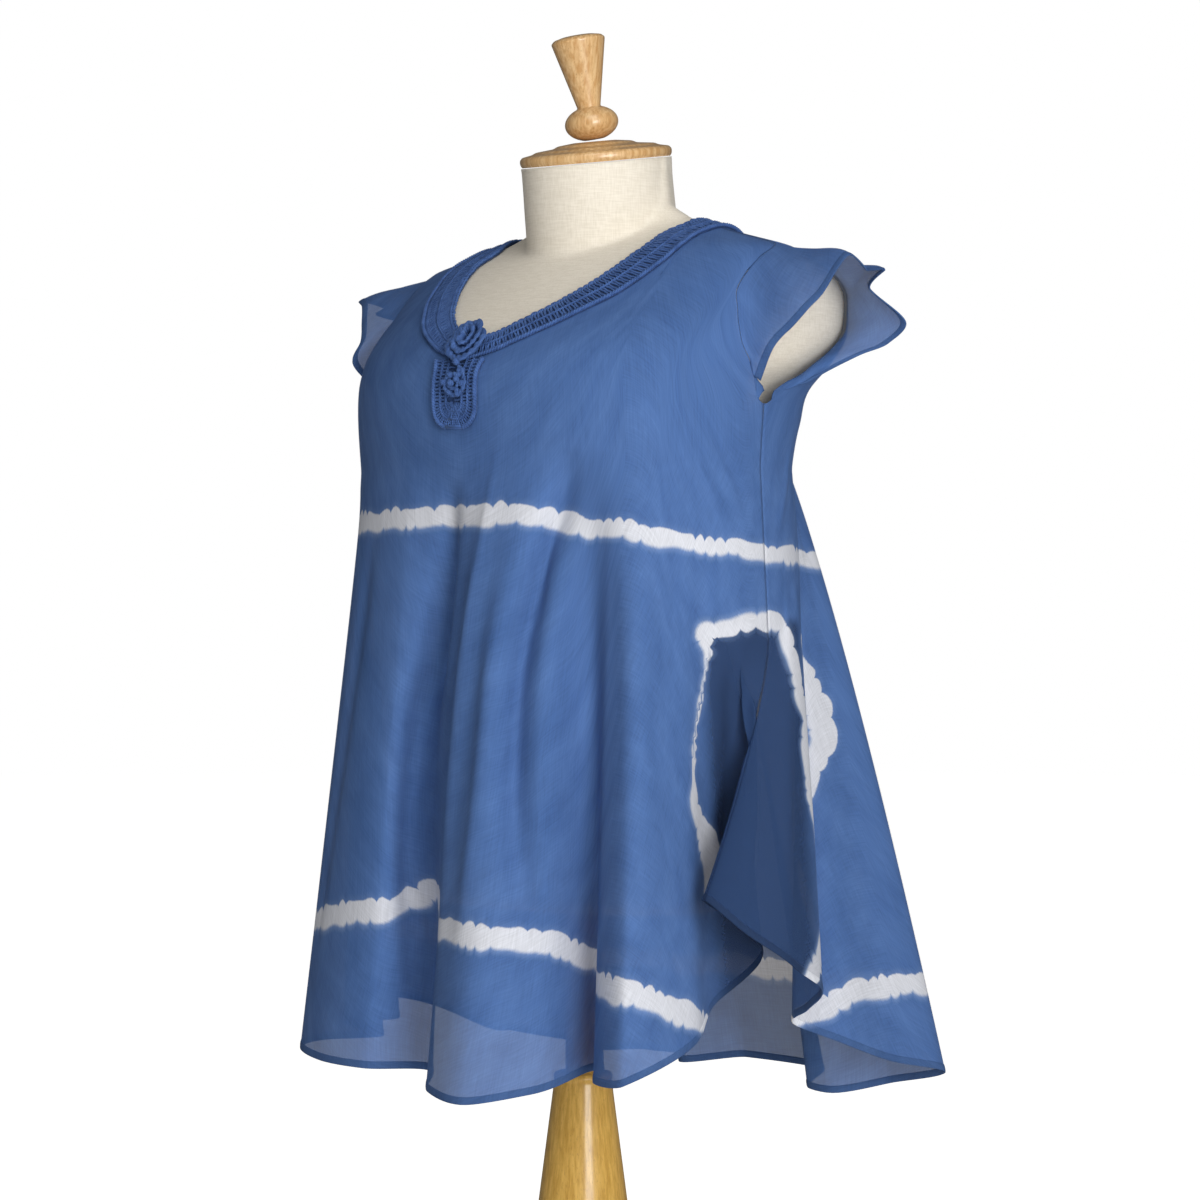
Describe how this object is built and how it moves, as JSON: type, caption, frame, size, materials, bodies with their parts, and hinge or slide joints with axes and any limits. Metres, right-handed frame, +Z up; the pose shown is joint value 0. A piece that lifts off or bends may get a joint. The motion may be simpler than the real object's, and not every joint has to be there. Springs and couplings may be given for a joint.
{
  "type": "cap sleeve dress on dress form",
  "caption": "Flared sheer cotton tunic dress with flutter cap sleeves and a crochet neck band and tab, on a limbless dress form with a turned wood finial, pedestal and round base.",
  "frame": {"origin": "centre of the underside of the base disc", "axes": "+Z up, the front of the dress faces -Y and the wearer's left is +X"},
  "size_m": [0.543, 0.4225, 1.1261],
  "materials": {
    "blue_cotton_voile": "sheer plain weave, resist dyed",
    "crochet_cotton": "matte crochet cotton yarn",
    "cream_linen": "matte stretched linen",
    "varnished_beech": "satin varnish"
  },
  "bodies": {
    "root": {"base_disc": "varnished_beech", "pedestal": "varnished_beech", "form_torso": "cream_linen", "neck_cap": "varnished_beech", "finial": "varnished_beech", "front_panel": "blue_cotton_voile", "back_panel": "blue_cotton_voile", "sleeve_left": "blue_cotton_voile", "sleeve_right": "blue_cotton_voile", "neck_band": "crochet_cotton", "crochet_tab": "crochet_cotton", "rosette_upper": "crochet_cotton", "rosette_lower": "crochet_cotton"}
  },
  "joints": []
}
